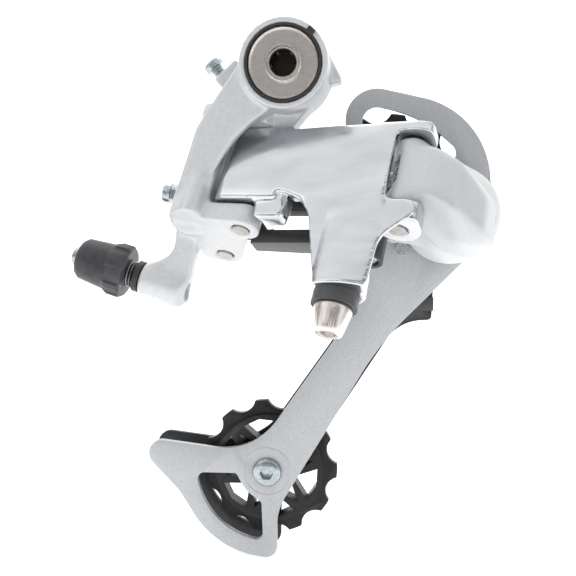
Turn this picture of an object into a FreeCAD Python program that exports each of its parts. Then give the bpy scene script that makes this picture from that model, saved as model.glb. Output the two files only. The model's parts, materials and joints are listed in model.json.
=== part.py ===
import FreeCAD, Part
import math
import os
import Sketcher

from FreeCAD import Placement, Rotation, Vector

# Rear derailleur.  X runs forward, Y inboard, Z up, in millimetres.  The origin is where the axis of
# the hanger bolt meets the outboard face of the frame's hanger.
DOC = FreeCAD.newDocument("rear_derailleur")

SIZES = {
    # hanger bolt and its knuckle
    "thread_radius": 5.0, "thread_length": 10.0, "shaft_radius": 6.0, "bolt_flange_radius": 10.35,
    "collar_radius": 5.3, "pilot_radius": 5.6, "bolt_hex_flats": 7.0, "ring_radius": 12.9,
    "ring_depth": 23.8, "ring_back": -2.2, "bush_radius": 7.5, "spring_room_radius": 11.0,
    # parallelogram: four pins, all in one direction
    "pin_radius": 2.5, "pin_fit": 0.05, "link_length": 47.0, "short_side_along": -12.6,
    "short_side_across": 15.6, "link_low": 4.0, "link_high": 29.0, "lug_top": 34.0,
    "lobe_low": -3.0, "link_gap": 0.4, "web_front": -8.0, "web_back": -5.4,
    # cable anchor
    "anchor_along": 34.0, "anchor_pad_low": -22.0, "anchor_washer_radius": 6.2,
    "anchor_washer_height": 3.5, "anchor_head_radius": 5.2, "anchor_tip_radius": 3.8,
    "anchor_head_height": 7.8,
    # cage
    "axle_forward": 49.5, "axle_up": -43.0, "axle_radius": 4.0, "bell_radius": 15.0,
    "plate_outer": 4.5, "outer_thick": 2.0, "plate_gap": 9.5, "inner_thick": 1.5,
    "tail_radius": 30.6, "tail_rim": 6.0, "tail_boss_radius": 10.0,
    # pulleys, for a chain of 12.7 pitch
    "teeth": 11, "tip_radius": 23.8, "valley_radius": 5.3, "valley_distance": 26.3,
    "tooth_width": 2.4, "web_radius": 19.0, "web_width": 5.4, "hub_radius": 6.6,
    "hub_width": 8.2, "sleeve_radius": 4.0, "bolt_radius": 2.5, "bolt_head_radius": 5.0,
    "guide_forward": 30.6, "guide_up": -33.7, "tension_forward": -9.4, "tension_up": -130.9,
    # cable adjuster and small screws
    "knob_small_radius": 6.6, "knob_large_radius": 8.5, "knob_length": 16.0,
    "adjuster_bore": 2.6, "boss_radius": 5.6, "screw_radius": 2.0, "screw_head_radius": 3.2,
}


def make_sheet():
    """The driving dimensions, one alias to a cell."""
    sheet = DOC.addObject("Spreadsheet::Sheet", "Sizes")
    for row, (alias, value) in enumerate(SIZES.items(), start=1):
        sheet.set(f"A{row}", alias)
        sheet.set(f"B{row}", str(value))
        sheet.setAlias(f"B{row}", alias)
    DOC.recompute()
    return sheet


SHEET = make_sheet()


def size(alias):
    """One driving dimension, read back from the sheet."""
    return float(SHEET.get(alias))


def cell(alias):
    """The expression that binds a property to a driving dimension."""
    return f"Sizes.{alias}"


# ---------------------------------------------------------------- frames that several parts share
PIN_DIRECTION = Vector(0.17, 0.50, 0.85).normalize()
OUTER_REAR_PIN = Vector(-11.9, -25.0, -45.0)
LINK_SIDE = Vector(44.5, -15.0, -1.0)
LINK_ALONG = (LINK_SIDE - PIN_DIRECTION * LINK_SIDE.dot(PIN_DIRECTION)).normalize()
LINK_ACROSS = PIN_DIRECTION.cross(LINK_ALONG)
INBOARD = Vector(0, 1, 0)

# Link frame: x along the links, y across them (inboard), z along the pins, origin at the outer
# link's rear pin.
LINKS = Placement(OUTER_REAR_PIN, Rotation(LINK_ALONG, LINK_ACROSS, PIN_DIRECTION, "ZXY"))

OUTER_REAR = (0.0, 0.0)
OUTER_FRONT = (size("link_length"), 0.0)
INNER_REAR = (size("short_side_along"), size("short_side_across"))
INNER_FRONT = (INNER_REAR[0] + size("link_length"), INNER_REAR[1])

AXLE = Vector(size("axle_forward"), 0, size("axle_up"))
GUIDE = Vector(size("guide_forward"), 0, size("guide_up"))
TENSION = Vector(size("tension_forward"), 0, size("tension_up"))
RING_FACE = -26.0
PLATE_INSIDE = size("plate_outer") + size("outer_thick")
INNER_PLATE = PLATE_INSIDE + size("plate_gap")
PULLEY_MIDDLE = PLATE_INSIDE + size("plate_gap") / 2

ADJUSTER_AXIS = Vector(-0.954, 0, 0.300).normalize()
ADJUSTER_BOSS = Vector(-46.2, -14.0, -62.6)
B_SCREW_AXIS = Vector(0.669, 0, -0.743).normalize()
B_SCREW_HEAD = Vector(-24.6, -4.3, 3.9)
LIMIT_AXIS = Vector(0.985, 0, -0.17).normalize()
LIMIT_HEADS = {"limit_screw_high": Vector(-38.0, -12.0, -36.8), "limit_screw_low": Vector(-38.0, -3.5, -36.8)}


def at_links(x, y, z):
    """A point of the link frame, in the object's frame."""
    return LINKS.multVec(Vector(x, y, z))


def along(start, direction):
    """A placement whose local Z runs along a direction."""
    return Placement(start, Rotation(Vector(0, 0, 1), direction))


def turned(radius, angle, distance):
    """A placement on a circle round the hanger axis, its local Z inboard and its local X outwards."""
    return Placement(Vector(), Rotation(INBOARD, angle)).multiply(along(Vector(radius, distance, 0), INBOARD))


def lathe_place(start, direction):
    """A placement whose local Y, the axis of turned parts, runs along a direction."""
    return Placement(start, Rotation(INBOARD, direction))


# ---------------------------------------------------------------- building blocks
def cylinder(name, radius, length, start, direction):
    """A round bar from start along a direction; radius is a sheet alias or a number."""
    bar = DOC.addObject("Part::Cylinder", name)
    if isinstance(radius, str):
        bar.setExpression("Radius", cell(radius))
    else:
        bar.Radius = radius
    bar.Height = length
    bar.Placement = along(start, direction)
    return bar


def block(name, length, width, height, place):
    """A box centred on its own origin in x and y, standing on its z = 0."""
    box = DOC.addObject("Part::Box", name)
    box.Length = length
    box.Width = width
    box.Height = height
    box.Placement = place.multiply(Placement(Vector(-length / 2, -width / 2, 0), Rotation()))
    return box


def fuse(name, pieces):
    """One solid of several overlapping pieces."""
    joined = DOC.addObject("Part::MultiFuse", name)
    joined.Shapes = pieces
    joined.Refine = True
    return joined


def cut(name, base, tools):
    """Base with each tool taken out of it."""
    for number, tool in enumerate(tools):
        result = DOC.addObject("Part::Cut", f"{name}_{number}")
        result.Base = base
        result.Tool = tool
        base = result
    base.Label = name
    return base


def plane_of(body, role):
    """One of a body's own origin planes or axes."""
    return next(item for item in body.Origin.OriginFeatures if item.Role == role)


def new_sketch(body, name, role):
    """A sketch on one of the body's origin planes."""
    sketch = body.newObject("Sketcher::SketchObject", name)
    sketch.AttachmentSupport = [(plane_of(body, role), "")]
    sketch.MapMode = "FlatFace"
    return sketch


def rounded(circles):
    """The line of a belt run round circles (x, y, radius), anticlockwise; a negative radius is hollow."""
    straights = []
    for (x, y, radius), (next_x, next_y, next_radius) in zip(circles, circles[1:] + circles[:1]):
        change = next_radius - radius
        run = math.sqrt((next_x - x) ** 2 + (next_y - y) ** 2 - change ** 2)
        heading = math.atan2(next_y - y, next_x - x) - math.atan2(change, run)
        side = Vector(-math.sin(heading), math.cos(heading), 0)
        straights.append((Vector(x, y, 0) - side * radius, Vector(next_x, next_y, 0) - side * next_radius))
    edges = []
    for number, (x, y, radius) in enumerate(circles):
        arrive, leave = straights[number - 1][1], straights[number][0]
        start = math.atan2(arrive.y - y, arrive.x - x)
        sweep = math.atan2(leave.y - y, leave.x - x) - start
        turn = math.copysign(2 * math.pi, radius)
        sweep += turn if sweep * radius < 0 else 0
        halfway = start + sweep / 2
        middle = Vector(x, y, 0) + Vector(math.cos(halfway), math.sin(halfway), 0) * abs(radius)
        edges.append(Part.Arc(arrive, middle, leave))
        edges.append(Part.LineSegment(*straights[number]))
    return edges


def polygon(points):
    """The edges of an outline of straight lines."""
    corners = [Vector(x, y, 0) for x, y in points]
    return [Part.LineSegment(start, end) for start, end in zip(corners, corners[1:] + corners[:1])]


def draw_circle(sketch, x, y, radius):
    """A circle whose radius is a sheet alias or a number."""
    value = size(radius) if isinstance(radius, str) else radius
    index = sketch.addGeometry(Part.Circle(Vector(x, y, 0), Vector(0, 0, 1), value), False)
    if isinstance(radius, str):
        constraint = sketch.addConstraint(Sketcher.Constraint("Radius", index, value))
        sketch.setExpression(f"Constraints[{constraint}]", cell(radius))


def prism(name, outline, length, role="XY_Plane", holes=(), place=None):
    """A padded outline; on the XZ plane it grows inboard.  Length is an alias or a number."""
    body = DOC.addObject("PartDesign::Body", name)
    sketch = new_sketch(body, f"{name}_outline", role)
    sketch.addGeometry(outline, False)
    for x, y, radius in holes:
        draw_circle(sketch, x, y, radius)
    pad = body.newObject("PartDesign::Pad", f"{name}_pad")
    pad.Profile = sketch
    pad.Reversed = role == "XZ_Plane"
    if isinstance(length, str):
        pad.setExpression("Length", cell(length))
    else:
        pad.Length = length
    if place:
        body.Placement = place
    return body


def link_prism(name, outline, low, high):
    """An outline in the link frame's x and y, from one height along the pins to another."""
    return prism(name, outline, high - low, place=LINKS.multiply(Placement(Vector(0, 0, low), Rotation())))


def side_prism(name, outline, start, end):
    """An outline seen from outboard, from one distance inboard to another."""
    return prism(name, outline, end - start, "XZ_Plane", place=Placement(INBOARD * start, Rotation()))


def lathe(name, profile, place=None):
    """A turned part about its local Y.  Each point is (radius, distance), numbers or aliases."""
    body = DOC.addObject("PartDesign::Body", name)
    sketch = new_sketch(body, f"{name}_profile", "XY_Plane")
    corners = []
    for point in profile:
        corners.append([size(value) if isinstance(value, str) else value for value in point])
    count = len(corners)
    for index in range(count):
        start, end = corners[index], corners[(index + 1) % count]
        sketch.addGeometry(Part.LineSegment(Vector(*start, 0), Vector(*end, 0)), False)
    for index in range(count):
        sketch.addConstraint(Sketcher.Constraint("Coincident", index, 2, (index + 1) % count, 1))
    for index, point in enumerate(profile):
        for kind, value, number in zip(("DistanceX", "DistanceY"), point, corners[index]):
            datum = sketch.addConstraint(Sketcher.Constraint(kind, -1, 1, index, 1, number))
            if isinstance(value, str):
                sketch.setExpression(f"Constraints[{datum}]", cell(value))
    turn = body.newObject("PartDesign::Revolution", f"{name}_turn")
    turn.Profile = sketch
    turn.ReferenceAxis = (plane_of(body, "Y_Axis"), [""])
    turn.Angle = 360
    if place:
        body.Placement = place
    return body


def pocket_hexagon(body, flats, face_distance, depth):
    """A hexagon socket sunk along the part's local Y from a face at face_distance."""
    sketch = new_sketch(body, f"{body.Name}_socket", "XZ_Plane")
    sketch.AttachmentOffset = Placement(Vector(0, 0, -face_distance), Rotation())
    radius = flats / math.sqrt(3)
    corners = [(radius * math.cos(math.radians(60 * k)), radius * math.sin(math.radians(60 * k)))
               for k in range(6)]
    sketch.addGeometry(polygon(corners), False)
    DOC.recompute()
    before = body.Shape.Volume
    pocket = body.newObject("PartDesign::Pocket", f"{body.Name}_hex")
    pocket.Profile = sketch
    pocket.Length = depth
    DOC.recompute()
    if body.Shape.Volume > before - 1:
        pocket.Reversed = True
        DOC.recompute()
    assert body.Shape.Volume < before - 1, body.Name


def tube(name, outer, inner, start, end, place=None):
    """A plain ring or sleeve about local Y between two distances."""
    return lathe(name, [(inner, start), (outer, start), (outer, end), (inner, end)], place)


def coil(name, mean_radius, wire, turns, length, place):
    """A close-wound spring about its local Z."""
    helix = DOC.addObject("Part::Helix", f"{name}_path")
    helix.Radius = mean_radius
    helix.Pitch = length / turns
    helix.Height = length
    section = DOC.addObject("Part::Circle", f"{name}_wire")
    section.Radius = wire
    section.Placement = Placement(Vector(mean_radius, 0, 0), Rotation(Vector(1, 0, 0), 90))
    sweep = DOC.addObject("Part::Sweep", name)
    sweep.Sections = [section]
    sweep.Spine = (helix, [])
    sweep.Solid = True
    sweep.Frenet = True
    sweep.Placement = place
    return sweep


# ---------------------------------------------------------------- hanger side
def mount_bolt():
    """M10 hanger bolt with a wide dished flange, a raised collar round its hexagon socket and a pilot.

    The pilot centres the stop plate and its end bears on the hanger.
    """
    flange, collar, shaft, thread = "bolt_flange_radius", "collar_radius", "shaft_radius", "thread_radius"
    bolt = lathe("mount_bolt", [
        (0, -26.0), (4.3, -26.0), (4.6, -26.5), (5.1, -26.5), (collar, -26.3), (collar, -24.9),
        (9.3, -25.0), (9.9, -25.6), (flange, -25.3), (flange, -24.0), (shaft, -24.0), (shaft, -2.05),
        ("pilot_radius", -2.05), ("pilot_radius", 0), (thread, 0), (thread, "thread_length"),
        (0, "thread_length")])
    pocket_hexagon(bolt, size("bolt_hex_flats"), -26.0, 5.0)
    return bolt


def b_stop_plate():
    """Flat washer between bolt shoulder and hanger, with a bent tab that the B screw rests on."""
    bore_radius = size("pilot_radius") + size("pin_fit")
    disc = tube("stop_disc", 9.4, bore_radius, -2.0, 0.0)
    reach = B_SCREW_HEAD + B_SCREW_AXIS * 18.0
    angle = math.degrees(math.atan2(-B_SCREW_AXIS.z, B_SCREW_AXIS.x))
    tab_turn = Placement(Vector(reach.x, 0, reach.z), Rotation(INBOARD, angle))
    tab_place = tab_turn.multiply(along(INBOARD * -6.0, INBOARD))
    tab = block("stop_tab", 1.8, 4.4, 6.0, tab_place)
    arm = side_prism("stop_arm", polygon([(-3, -6), (-7.6, -4), (-14.6, -7.0), (-12.4, -12.6)]), -2.0, 0.0)
    bore = cylinder("stop_bore", bore_radius, 20, Vector(0, -10, 0), INBOARD)
    return cut("b_stop_plate", fuse("stop_all", [disc, arm, tab]), [bore])


def b_knuckle():
    """Casting round the hanger bolt: ring, arm, two pin lugs and the cable adjuster's boss."""
    low, high = size("lobe_low"), size("link_high") + size("link_gap")
    ear_turn = Placement(Vector(-17.6, 0, -1.0), Rotation(INBOARD, 48))
    ear_place = ear_turn.multiply(along(INBOARD * -12, INBOARD))
    arm = [(-3, -1, 9.2), (-18, -22, 9), (-28.5, -43, 6), (13, -44, -35.5)]
    spine = [(-18.5, -6, 3), (-13.4, -8.6, 3), (-14, 1.6, 3), (-19, 15.4, 3)]
    pieces = [
        cylinder("ring", "ring_radius", size("ring_depth"), INBOARD * RING_FACE, INBOARD),
        side_prism("arm", rounded(arm), -24.6, -10.1),
        block("b_screw_ear", 6.5, 9.0, 10.6, ear_place),
        side_prism("ring_tab", rounded([(5, 4, 7), (7, -4, 1), (15, -2, 1)]), -11.0, -3.0),
        side_prism("under_wall", rounded([(4, -9.5, 3), (-13, -8, 3), (-16, -12.5, 3), (-12, -18, 3),
                                          (-3, -17.6, 3)]), -16.0, -3.0),
        side_prism("adjuster_strap", rounded([(-30, -42, 4), (-41, -50.6, -6.2), (-42, -62.6, 4.6),
                                              (-35, -68, 3.8)]), -17.5, -10.5),
        side_prism("limit_boss", rounded([(-27, -34.5, 3), (-30, -34.8, 3), (-30, -39.4, 3),
                                          (-27, -40, 3)]), -17.0, 0.0),
        cylinder("adjuster_boss", "boss_radius", 14.0, ADJUSTER_BOSS, ADJUSTER_AXIS * -1),
        link_prism("spine", rounded(spine), -3.0, 23.0),
        link_prism("low_bridge", rounded([(-19, -4.5, 2.5), (-1.5, -3, 2.5), (-1.6, 3, 2.5), (-10, 16, 3),
                                          (-18, 17, 3)]), low + 0.1, low + 6.5),
        link_prism("high_bridge", rounded([(-14.5, -11, 3), (1.6, -5.6, 3), (3, 2, 3), (-10, 17.4, 3),
                                           (-14.4, 15.6, 3)]), high + 0.3, high + 4.3),
    ]
    for name, (x, y), radius in (("outer", OUTER_REAR, 5.4), ("inner", INNER_REAR, 5.6)):
        pieces.append(cylinder(f"low_lug_{name}", radius, 6.6, at_links(x, y, low), PIN_DIRECTION))
        pieces.append(cylinder(f"high_lug_{name}", radius + 0.6, size("lug_top") - high,
                               at_links(x, y, high), PIN_DIRECTION))
    return cut("b_knuckle", fuse("b_knuckle_solid", pieces), b_knuckle_spaces())


def b_knuckle_spaces():
    """Everything that the hanger knuckle leaves room for."""
    spring = cylinder("spring_room", "spring_room_radius", 30, Vector(0, -19.0, 0), INBOARD)
    bush_bore = cylinder("bush_bore", "bush_radius", 30, Vector(0, -30.0, 0), INBOARD)
    counterbore = cylinder("counterbore", 11.05, 10, Vector(0, -33.9, 0), INBOARD)
    low = size("link_low") - size("link_gap")
    height = size("link_high") + size("link_gap") - low
    spaces = [spring, bush_bore, counterbore]
    for name, (x, y), radius in (("outer", OUTER_REAR, 10.6), ("inner", INNER_REAR, 6.2)):
        spaces.append(cylinder(f"link_room_{name}", radius, height, at_links(x, y, low), PIN_DIRECTION))
        spaces.append(cylinder(f"pin_bore_{name}", "pin_radius", 60, at_links(x, y, -15), PIN_DIRECTION))
    room = polygon([(-9, -9.5), (70, -9.5), (70, 60), (-12, 60), (-12.6, 21), (-7, 8)])
    spaces.append(link_prism("swing_room", room, low, low + height))
    bore_start = ADJUSTER_BOSS + ADJUSTER_AXIS * 30
    spaces.append(cylinder("adjuster_bore_hole", 3.0, 60, bore_start, ADJUSTER_AXIS * -1))
    spaces.append(cylinder("collar_room", 6.0, 10, ADJUSTER_BOSS, ADJUSTER_AXIS))
    spaces.append(cylinder("b_screw_hole", "screw_radius", 30, B_SCREW_HEAD, B_SCREW_AXIS))
    for name, head in LIMIT_HEADS.items():
        spaces.append(cylinder(f"{name}_hole", "screw_radius", 16, head, LIMIT_AXIS))
    return spaces + [stop_tab_room()]


def stop_tab_room():
    """The sector round the ring that the stop plate's tab passes through."""
    wedge = side_prism("tab_wedge", polygon([(-9.0, -5.2), (-20.8, -11.4), (-14.0, -24.0), (-1.6, -22.0),
                                             (-1.0, -10.0)]), -7.4, 5.0)
    core = cylinder("tab_core", size("ring_radius") + 0.1, 20, Vector(0, -10, 0), INBOARD)
    room = DOC.addObject("Part::Cut", "tab_room")
    room.Base = wedge
    room.Tool = core
    return room


def bushes_and_rings():
    """Plain bearings, seal ring and end cap of the hanger knuckle."""
    bush = tube("b_bushing", "bush_radius", size("shaft_radius") + size("pin_fit"), -23.9, -2.6)
    cap = tube("b_end_cap", "spring_room_radius", "bush_radius", -4.2, -2.6)
    ring = tube("seal_ring_hoop", 11.0, size("bolt_flange_radius") + 0.1, -26.2, -24.0)
    tab = block("seal_ring_split", 2.0, 2.2, 0.8, turned(11.5, -47, -26.8))
    return [bush, cap, fuse("seal_ring", [ring, tab])]


def link_pins():
    """Three plain pins; the fourth pivot is the inner link's screw."""
    pins = []
    for name, (x, y), low, high in (("link_pin_outer_rear", OUTER_REAR, -3.2, 34.2),
                                    ("link_pin_inner_rear", INNER_REAR, -3.2, 34.2),
                                    ("link_pin_outer_front", OUTER_FRONT, -2.3, 29.8)):
        pin = tube(name, "pin_radius", 0, low, high, lathe_place(at_links(x, y, 0), PIN_DIRECTION))
        pins.append(pin)
    return pins


def machine_screw(name, head, axis, length, head_height):
    """Round-headed screw whose head sits just before its seat."""
    return lathe(name, [(0, 0), ("screw_head_radius", 0), ("screw_head_radius", head_height),
                        ("screw_radius", head_height), ("screw_radius", length - 0.6),
                        (size("screw_radius") - 0.6, length), (0, length)], lathe_place(head, axis))


def screws():
    """B-tension screw and the two limit screws."""
    parts = [machine_screw("b_tension_screw", B_SCREW_HEAD - B_SCREW_AXIS * 1.5, B_SCREW_AXIS, 17.9, 2.8)]
    for name, head in LIMIT_HEADS.items():
        parts.append(machine_screw(name, head - LIMIT_AXIS * 1.6, LIMIT_AXIS, 14.0, 3.2))
    return parts


def cable_adjuster():
    """Threaded barrel, ribbed knob, its detent spring and the collar against the boss."""
    place = lathe_place(ADJUSTER_BOSS, ADJUSTER_AXIS)
    bore = "adjuster_bore"
    barrel = lathe("adjuster_barrel", [(1.0, -9.0), (2.9, -9.0), (2.9, 22.4), (bore, 23.0), (bore, 12.0),
                                       (1.0, 11.0)], place)
    barrel_bore = size("adjuster_bore") + 0.4
    start = 4.6
    end = start + size("knob_length")
    knob = lathe("knob_turned", [(barrel_bore, start), (7.6, start), ("knob_large_radius", start + 1.0),
                                 ("knob_large_radius", start + 4.5), (7.4, start + 6.5),
                                 ("knob_small_radius", end - 1.2), (5.6, end), (barrel_bore, end)], place)
    grooves = []
    for index in range(10):
        angle = math.radians(36 * index)
        offset = Vector(math.cos(angle), 0, math.sin(angle)) * (size("knob_large_radius") + 1.1)
        start_point = place.multVec(offset - INBOARD * 2)
        grooves.append(cylinder(f"knob_groove_{index}", 1.9, 30, start_point, ADJUSTER_AXIS))
    knob = cut("adjuster_knob", knob, [fuse("knob_grooves", grooves)])
    collar = tube("adjuster_collar", 5.0, barrel_bore, 0.1, 1.8, place)
    spring = coil("adjuster_spring", 3.9, 0.4, 2, 2.0, along(place.multVec(Vector(0, 2.2, 0)), ADJUSTER_AXIS))
    return [barrel, knob, collar, spring]


# ---------------------------------------------------------------- parallelogram
def outer_link():
    """Polished outer link: a crowned web, a round rear end, two front ears and the cable arm."""
    low, high, front, back = size("link_low"), size("link_high"), size("web_front"), size("web_back")
    pin_bore = size("pin_radius") + size("pin_fit")
    pad_low, anchor = size("anchor_pad_low"), size("anchor_along")
    span = size("link_length")
    web_outline = [(-0.5, 23.6, 4), (-1.2, 9.8, 4.6), (12, -6.5, -12.4), (anchor - 4.2, pad_low + 1.3, 0.8),
                   (anchor + 9, pad_low + 1.3, 0.8), (51.5, -11, -7.2), (50.4, 0.6, 2.2), (45.5, 5.3, -1.5),
                   (45.5, 24.1, -1.5), (46.8, 27.6, 1.4)]
    rear_outline = [(0, 0, 6.6), (-4.5, -3.6, 4.4), (11.4, front + 0.6, 0.6), (14.6, 4.6, -8.6)]
    ear_outline = [(span, 0, 6.4), (38.6, front + 0.6, 0.6), (48.6, -3.2, 4.8)]
    lug_outline = [(6, -5.4, 1), (14, -5.4, 1), (12.4, -1.5, 2.8), (7, 2, 1.6)]
    web = prism("link_web", rounded(web_outline), back - front, "XZ_Plane",
                place=LINKS.multiply(Placement(Vector(0, front, 0), Rotation())))
    solid = fuse("outer_link_solid", [
        web,
        link_prism("link_rear", rounded(rear_outline), low, high),
        link_prism("link_high_ear", rounded(ear_outline), 25.8, high),
        link_prism("link_low_ear", rounded(ear_outline), -2.0, 3.5),
        link_prism("link_top_flange", polygon([(0, front), (40, front), (40, -2.5), (0, -2.5)]), 25.7, 27.2),
        link_prism("anchor_web", polygon([(29.2, front), (43.4, front), (43.0, -2.0), (29.6, -2.0)]),
                   pad_low, pad_low + 5.5),
        link_prism("spring_lug", rounded(lug_outline), -1.6, 6.8),
        link_prism("link_rib", polygon([(16, -6), (24, -6), (24, -2.6), (16, -2.6)]), 5.0, 27.0),
        cylinder("anchor_pad", 7.0, 5.5, at_links(anchor + 1, -0.6, pad_low), PIN_DIRECTION)])
    return cut("outer_link", solid, [
        cylinder("outer_rear_bore", pin_bore, 60, at_links(0, 0, -10), PIN_DIRECTION),
        cylinder("outer_front_bore", "pin_radius", 60, at_links(span, 0, -10), PIN_DIRECTION),
        cylinder("anchor_bore", "bolt_radius", 30, at_links(anchor, 0, -30), PIN_DIRECTION),
        cylinder("lobe_room", 6.6, 7, at_links(0, 0, -3.4), PIN_DIRECTION)])


def cable_anchor():
    """Cone-headed bolt, its grooved washer and the nut behind the pad."""
    pad_low = size("anchor_pad_low")
    place = lathe_place(at_links(size("anchor_along"), 0, pad_low), PIN_DIRECTION)
    washer_low = -size("anchor_washer_height")
    tip = washer_low - size("anchor_head_height")
    washer = tube("anchor_washer", "anchor_washer_radius", "bolt_radius", washer_low, 0, place)
    bolt = lathe("anchor_bolt", [(0, tip), (3.0, tip), ("anchor_tip_radius", tip + 0.5),
                                 ("anchor_head_radius", washer_low - 0.8), (4.9, washer_low),
                                 ("bolt_radius", washer_low), ("bolt_radius", 9.0), (0, 9.0)], place)
    pocket_hexagon(bolt, 4.0, tip, 3.0)
    nut = tube("anchor_nut", 4.2, "bolt_radius", 5.5, 8.6, place)
    return [washer, bolt, nut]


def inner_link():
    """Plain inner link: a bar and web between two bored ends."""
    low, high = size("link_low"), 22.0
    rear, across = INNER_REAR
    front = INNER_FRONT[0]
    solid = fuse("inner_link_solid", [
        cylinder("inner_rear_end", 5.0, high - low, at_links(rear, across, low), PIN_DIRECTION),
        cylinder("inner_low_end", 4.6, 8.2, at_links(front, across, -3.2), PIN_DIRECTION),
        cylinder("inner_high_end", 4.4, 3.4, at_links(front, across, 16.6), PIN_DIRECTION),
        tapered_bar("inner_bar", -3.6, 2.6, 4.2, 0.4, 5.0),
        tapered_bar("inner_high_bar", 22.0, 1.6, 3.6, 16.6, 20.0),
        link_prism("inner_riser", polygon([(-8.6, across - 2.2), (0.6, across - 2.2), (0.6, across + 2.2),
                                           (-8.6, across + 2.2)]), low, 16.0),
        link_prism("inner_web", polygon([(rear + 2, across - 1.6), (26.0, across - 1.6), (26.0, across + 1.6),
                                         (rear + 2, across + 1.6)]), 12.6, 20.0)])
    return cut("inner_link", solid, [
        cylinder("inner_rear_bore", 3.2, 60, at_links(rear, across, -10), PIN_DIRECTION),
        cylinder("inner_front_bore", "pin_radius", 60, at_links(front, across, -10), PIN_DIRECTION),
        cylinder("inner_screw_seat", 3.4, 10, at_links(front, across, -11.4), PIN_DIRECTION)])


def tapered_bar(name, start, half_width, end_half_width, low, high):
    """A bar on the inner link's line that widens towards the front pivot."""
    front, across = INNER_FRONT
    corners = [(start, across - half_width), (front, across - end_half_width),
               (front, across + end_half_width), (start, across + half_width)]
    return link_prism(name, polygon(corners), low, high)


def inner_link_fittings():
    """Sleeve on the rear pin and the screw that is the front pivot."""
    rear = lathe_place(at_links(*INNER_REAR, 0), PIN_DIRECTION)
    front = lathe_place(at_links(*INNER_FRONT, 0), PIN_DIRECTION)
    sleeve = tube("inner_link_sleeve", 3.2, size("pin_radius") + size("pin_fit"), 4.0, 22.0, rear)
    screw = lathe("inner_link_screw", [(0, -2.8), (2.4, -2.8), (3.2, -2.4), (3.2, -1.4), ("pin_radius", -1.4),
                                       ("pin_radius", 21.0), (0, 21.0)], front)
    pocket_hexagon(screw, 2.5, -2.8, 1.2)
    return [sleeve, screw]


# ---------------------------------------------------------------- cage knuckle
def bell_section(distance, boss, shoulder):
    """A flat teardrop across the cage axis: round the axle and round the shoulder under the links."""
    edges = [edge.toShape() for edge in rounded([boss, shoulder])]
    wire = Part.Wire(edges)
    wire.Placement = Placement(INBOARD * distance, Rotation(Vector(1, 0, 0), 90))
    return wire


def on_axle_circle(radius, angle, distance):
    """A point on a circle round the cage axis."""
    angle = math.radians(angle)
    return Vector(AXLE.x + radius * math.cos(angle), distance, AXLE.z + radius * math.sin(angle))


def knuckle_cheek():
    """The wedge that joins the front pin to the bell, as straight sections across the links."""
    front = size("link_length")
    sections = []
    for distance, corners in ((0, [(-5.2, 5.6), (-5.2, 24), (0, 25.4), (5.2, 25.4), (5.2, 4), (0, 4)]),
                              (8.4, [(-5.6, 5.6), (-5.6, 21), (4, 24), (18, 25.4), (18, 0), (4, 3.8)]),
                              (15, [(-2.5, 3), (-2.5, 18), (8, 21.5), (24, 24), (24, 2), (8, -1)]),
                              (21, [(8, 1.5), (8, 13), (14, 16.4), (26, 19.4), (26, 8), (14, 1.5)])):
        points = [at_links(front + distance, across, height) for across, height in corners]
        sections.append(Part.makePolygon(points + points[:1]))
    cheek = DOC.addObject("Part::Feature", "knuckle_cheek")
    cheek.Shape = Part.makeLoft(sections, True, True)
    return cheek


def p_knuckle():
    """Bell-shaped casting that carries the cage axle and hangs on both links."""
    forward, up, radius = AXLE.x, AXLE.z, size("bell_radius")
    bell = DOC.addObject("Part::Feature", "bell_shell")
    bell.Shape = Part.makeLoft([
        bell_section(-0.6, (forward, up, radius), (forward - 9.5, up + 11.5, 6.5)),
        bell_section(-12, (forward - 0.4, up + 0.4, radius - 0.4), (forward - 9, up + 14.5, 6)),
        bell_section(-23, (forward - 2, up + 1.6, radius - 3.2), (forward - 6.5, up + 13.5, 5.5)),
        bell_section(-33, (forward - 4.6, up + 3, radius - 7.6), (forward - 6.5, up + 8.5, 5)),
    ], True, False)
    x, y = INNER_FRONT
    arm = polygon([(x, y - 4.3), (x + 20, y - 5), (x + 20, y + 8), (x, y + 4.3)])
    solid = fuse("p_knuckle_solid", [
        bell,
        knuckle_cheek(),
        cylinder("front_boss", 5.3, 21.5, at_links(*OUTER_FRONT, 3.9), PIN_DIRECTION),
        cylinder("inner_boss", 4.5, 11.0, at_links(x, y, 5.3), PIN_DIRECTION),
        link_prism("inner_arm", arm, 5.3, 16.3),
        cylinder("stop_lug", 3.2, 6.2, on_axle_circle(17.6, 199.0, -5.0), INBOARD)])
    return cut("p_knuckle", solid, p_knuckle_spaces())


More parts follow.
